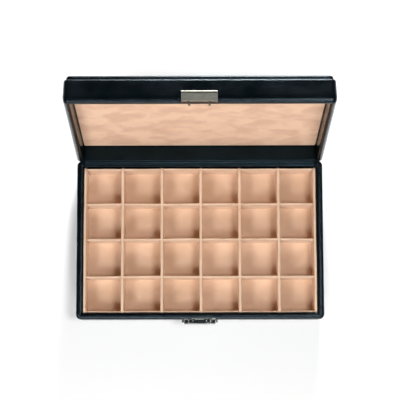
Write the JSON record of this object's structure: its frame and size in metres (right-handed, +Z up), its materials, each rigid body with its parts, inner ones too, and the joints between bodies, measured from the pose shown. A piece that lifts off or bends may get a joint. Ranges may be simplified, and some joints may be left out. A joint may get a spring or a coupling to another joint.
{
  "type": "coin display case",
  "caption": "Leather-covered coin case with a padded hinged lid, a velour tray of square compartments and a snap lock opened by two end buttons.",
  "frame": {"origin": "centre of the base's underside", "axes": "+X to the right along the long side, +Y to the hinges, +Z up; the lid stands open at rest"},
  "size_m": [0.28, 0.2472, 0.2206],
  "materials": {
    "leather": "satin black, fine grain",
    "velour": "peach velour with a short crushed pile",
    "board": "bare pressed board",
    "card": "matte",
    "foam": "open-cell foam",
    "chrome": "polished",
    "nickel": "brushed nickel plate",
    "dark_steel": "blackened",
    "brass": "satin"
  },
  "bodies": {
    "base": {"base_leather_cover": "leather", "base_bottom_board": "board", "base_front_board": "board", "base_back_board": "board", "base_left_board": "board", "base_right_board": "board", "base_underside_sheet": "card", "hinge_strip_base": "leather", "tray_floor": "velour", "tray_front_liner": "velour", "tray_back_liner": "velour", "tray_left_liner": "velour", "tray_right_liner": "velour", "column_divider_1": "velour", "column_divider_2": "velour", "column_divider_3": "velour", "column_divider_4": "velour", "column_divider_5": "velour", "row_divider_1": "velour", "row_divider_2": "velour", "row_divider_3": "velour", "hinge_left_base_leaf": "brass", "hinge_left_pin": "nickel", "hinge_right_base_leaf": "brass", "hinge_right_pin": "nickel", "hinge_base_screws": "brass", "lock_case": "chrome", "lock_back_plate": "nickel", "lock_top_plate": "dark_steel", "lock_eyelets": "nickel", "lock_spring_block": "dark_steel", "lock_rivets": "dark_steel", "latch_spring_left": "nickel", "latch_spring_right": "nickel"},
    "lid": {"lid_leather_cover": "leather", "lid_top_board": "board", "lid_front_board": "board", "lid_back_board": "board", "lid_left_board": "board", "lid_right_board": "board", "lid_top_foam": "foam", "lid_top_leather": "leather", "lid_pad_card": "card", "lid_velour_pad": "velour", "hinge_strip_lid": "leather", "hinge_left_lid_leaf": "brass", "hinge_right_lid_leaf": "brass", "hinge_lid_screws": "brass", "lid_lock_plate": "nickel", "lid_hooks": "dark_steel", "lid_hook_rivets": "dark_steel"},
    "latch_left": {"latch_left": "dark_steel", "lock_button_left": "chrome"},
    "latch_right": {"latch_right": "dark_steel", "lock_button_right": "chrome"}
  },
  "joints": [
    {"name": "lid_hinge", "type": "hinge", "parent": "base", "child": "lid", "pos_m": [0, 0.0891, 0.0402], "axis": [1, 0, 0], "range_deg": [0, 100]},
    {"name": "latch_left_slide", "type": "slide", "parent": "base", "child": "latch_left", "axis": [1, 0, 0], "range_m": [0, 0.002], "stiffness_N_per_m": 300, "springref_m": -0.002, "deforming": ["latch_spring_left"]},
    {"name": "latch_right_slide", "type": "slide", "parent": "base", "child": "latch_right", "axis": [-1, 0, 0], "range_m": [0, 0.002], "stiffness_N_per_m": 300, "springref_m": -0.002, "deforming": ["latch_spring_right"]}
  ]
}
